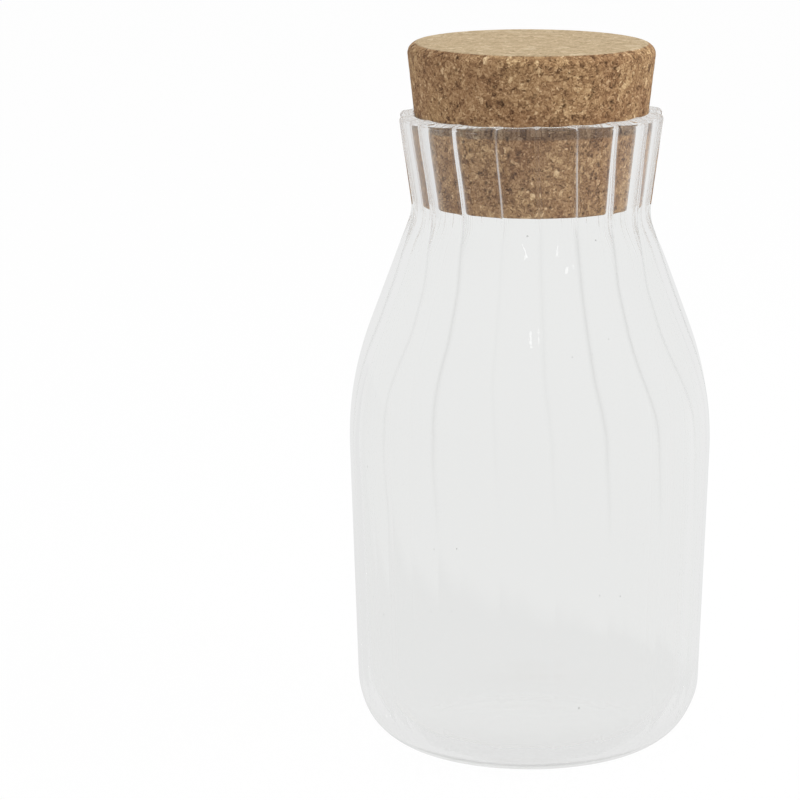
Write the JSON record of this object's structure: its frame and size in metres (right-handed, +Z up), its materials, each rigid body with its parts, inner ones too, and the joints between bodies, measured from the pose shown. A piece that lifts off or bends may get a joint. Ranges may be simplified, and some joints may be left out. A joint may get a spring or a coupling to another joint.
{
  "type": "storage jar",
  "caption": "Clear fluted glass storage jar with a rounded heel, sloping shoulder and flared neck, closed by a tapered cork stopper that lifts out.",
  "frame": {"origin": "centre of the jar's foot, on the surface that it stands on", "axes": "+Z up along the jar's axis, towards the cork; -Y is the side that the picture shows; +X to its right"},
  "size_m": [0.087, 0.087, 0.1706],
  "materials": {
    "glass": "clear blown glass, fire-polished rim",
    "cork": "pressed cork granules, sanded, matte"
  },
  "bodies": {
    "jar": {"glass_jar": "glass"},
    "stopper": {"cork_stopper": "cork"}
  },
  "joints": [
    {"name": "cork_lift", "type": "slide", "parent": "jar", "child": "stopper", "axis": [0, 0, 1], "range_m": [0, 0.06]}
  ]
}
